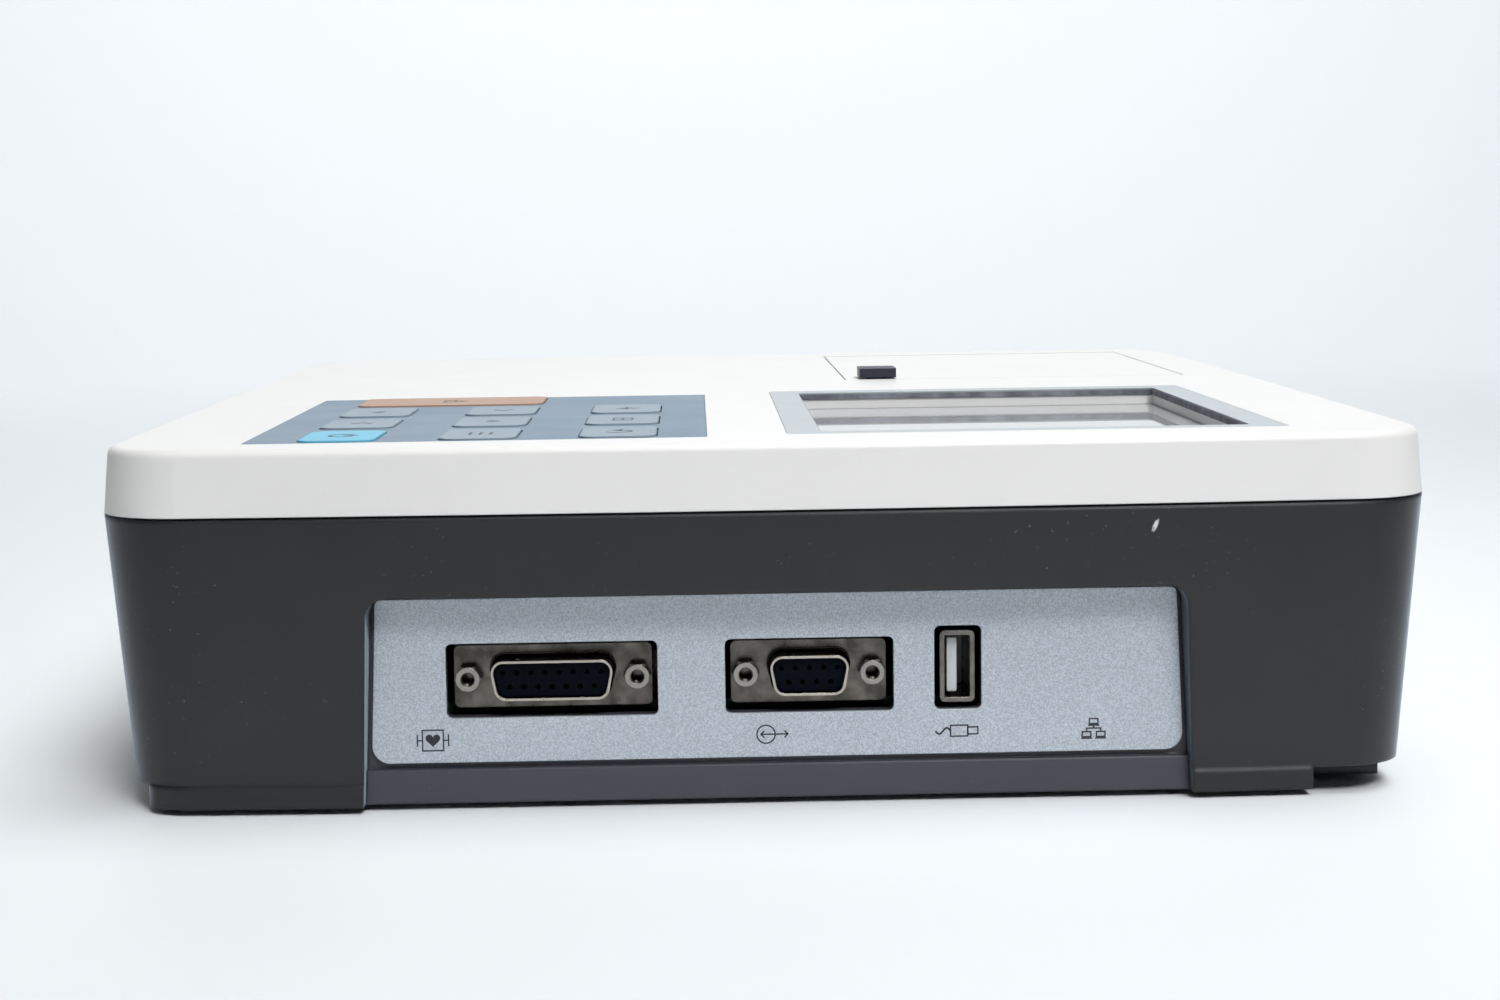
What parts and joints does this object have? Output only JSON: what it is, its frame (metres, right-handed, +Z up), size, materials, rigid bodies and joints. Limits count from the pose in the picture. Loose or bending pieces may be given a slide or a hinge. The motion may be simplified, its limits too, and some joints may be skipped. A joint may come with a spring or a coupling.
{
  "type": "desktop electrocardiograph",
  "caption": "Low desktop electrocardiograph: white lid with keypad, sunken display and printer door over a dark housing with lead, serial and USB sockets.",
  "frame": {"origin": "on the table under the middle of the body's outline", "axes": "+Z up, -Y towards the side with the sockets, -X towards the operator, +Y towards the paper slot"},
  "size_m": [0.263, 0.3, 0.0749],
  "materials": {
    "white_plastic": "satin moulded",
    "dark_plastic": "fine satin texture",
    "silver_film": "fine silver grain",
    "nickel": "nickel plated",
    "black_plastic": "moulded",
    "pale_plastic": "moulded",
    "membrane_film": "fine matte film",
    "grey_key_film": "matte",
    "blue_key_film": "matte",
    "orange_key_film": "matte",
    "bezel_film": "matte printed",
    "window_glass": "clear with a hard coat",
    "display_cell": "switched off",
    "board": "solder mask",
    "tin": "tin plated",
    "rubber": "matte",
    "steel": "plain",
    "alloy": "extruded",
    "ceramic": "ground",
    "nylon": "moulded",
    "grey_plastic": "moulded",
    "paper": "coated",
    "wrap": "shrink wrap",
    "latch_plastic": "ribbed"
  },
  "bodies": {
    "base": {"battery_cover": "dark_plastic", "battery_cover_screws": "steel", "battery_pack": "wrap", "board_screws": "steel", "bottom_housing": "dark_plastic", "display_bezel": "bezel_film", "display_window": "window_glass", "door_hinge_pin": "steel", "feed_motor": "steel", "head_heat_sink": "alloy", "housing_screws": "steel", "idler_pin": "steel", "inlet_pins": "nickel", "interface_panel": "silver_film", "key_switches": "black_plastic", "keypad_board": "board", "keypad_overlay": "membrane_film", "keypad_screws": "steel", "lcd_module": "display_cell", "main_board": "board", "main_board_parts": "tin", "mains_inlet": "black_plastic", "patient_jackscrews": "nickel", "patient_socket_insulator": "black_plastic", "patient_socket_shell": "nickel", "power_board": "board", "power_parts": "black_plastic", "print_head": "ceramic", "printer_frame": "grey_plastic", "printer_screws": "steel", "rubber_feet": "rubber", "serial_jackscrews": "nickel", "serial_socket_insulator": "black_plastic", "serial_socket_shell": "nickel", "socket_plate": "dark_plastic", "tear_bar": "steel", "top_cover": "white_plastic", "usb_shell": "nickel", "usb_tongue": "pale_plastic"},
    "door": {"paper_door": "white_plastic"},
    "latch": {"door_latch": "latch_plastic"},
    "platen": {"platen_shaft": "steel", "platen_sleeve": "rubber", "platen_gear": "nylon"},
    "idler": {"idler_gear": "nylon"},
    "pinion": {"motor_pinion": "nylon", "motor_shaft": "steel"},
    "roll": {"paper_roll": "paper", "paper_axle": "grey_plastic"},
    "blue_key": {"blue_key": "blue_key_film"},
    "start_key": {"start_key": "orange_key_film"},
    "grey_key_1": {"grey_key_1": "grey_key_film"},
    "grey_key_2": {"grey_key_2": "grey_key_film"},
    "grey_key_3": {"grey_key_3": "grey_key_film"},
    "grey_key_4": {"grey_key_4": "grey_key_film"},
    "grey_key_5": {"grey_key_5": "grey_key_film"},
    "grey_key_6": {"grey_key_6": "grey_key_film"},
    "grey_key_7": {"grey_key_7": "grey_key_film"},
    "grey_key_8": {"grey_key_8": "grey_key_film"}
  },
  "joints": [
    {"name": "blue_key_press", "type": "slide", "parent": "base", "child": "blue_key", "axis": [0, 0, -1], "range_m": [0, 0.0005], "stiffness_N_per_m": 800},
    {"name": "start_key_press", "type": "slide", "parent": "base", "child": "start_key", "axis": [0, 0, -1], "range_m": [0, 0.0005], "stiffness_N_per_m": 800},
    {"name": "grey_key_1_press", "type": "slide", "parent": "base", "child": "grey_key_1", "axis": [0, 0, -1], "range_m": [0, 0.0005], "stiffness_N_per_m": 800},
    {"name": "grey_key_2_press", "type": "slide", "parent": "base", "child": "grey_key_2", "axis": [0, 0, -1], "range_m": [0, 0.0005], "stiffness_N_per_m": 800},
    {"name": "grey_key_3_press", "type": "slide", "parent": "base", "child": "grey_key_3", "axis": [0, 0, -1], "range_m": [0, 0.0005], "stiffness_N_per_m": 800},
    {"name": "grey_key_4_press", "type": "slide", "parent": "base", "child": "grey_key_4", "axis": [0, 0, -1], "range_m": [0, 0.0005], "stiffness_N_per_m": 800},
    {"name": "grey_key_5_press", "type": "slide", "parent": "base", "child": "grey_key_5", "axis": [0, 0, -1], "range_m": [0, 0.0005], "stiffness_N_per_m": 800},
    {"name": "grey_key_6_press", "type": "slide", "parent": "base", "child": "grey_key_6", "axis": [0, 0, -1], "range_m": [0, 0.0005], "stiffness_N_per_m": 800},
    {"name": "grey_key_7_press", "type": "slide", "parent": "base", "child": "grey_key_7", "axis": [0, 0, -1], "range_m": [0, 0.0005], "stiffness_N_per_m": 800},
    {"name": "grey_key_8_press", "type": "slide", "parent": "base", "child": "grey_key_8", "axis": [0, 0, -1], "range_m": [0, 0.0005], "stiffness_N_per_m": 800},
    {"name": "door_hinge", "type": "hinge", "parent": "base", "child": "door", "pos_m": [0.0696, 0.1275, 0.0694], "axis": [-1, 0, 0], "range_deg": [0, 90]},
    {"name": "latch_slide", "type": "slide", "parent": "door", "child": "latch", "axis": [0, 1, 0], "range_m": [-0.004, 0]},
    {"name": "platen_spin", "type": "hinge", "parent": "base", "child": "platen", "pos_m": [0.0696, 0.1355, 0.0574], "axis": [1, 0, 0], "continuous": true},
    {"name": "idler_spin", "type": "hinge", "parent": "base", "child": "idler", "pos_m": [0.0696, 0.13003, 0.04236], "axis": [1, 0, 0], "continuous": true},
    {"name": "pinion_spin", "type": "hinge", "parent": "base", "child": "pinion", "pos_m": [0.0696, 0.12881, 0.02842], "axis": [1, 0, 0], "continuous": true},
    {"name": "roll_spin", "type": "hinge", "parent": "base", "child": "roll", "pos_m": [0.0696, 0.084, 0.038], "axis": [1, 0, 0], "continuous": true}
  ],
  "couplings": [
    {"joint": "idler_spin", "follows": "platen_spin", "ratio": -1},
    {"joint": "pinion_spin", "follows": "platen_spin", "ratio": 1.3333}
  ]
}
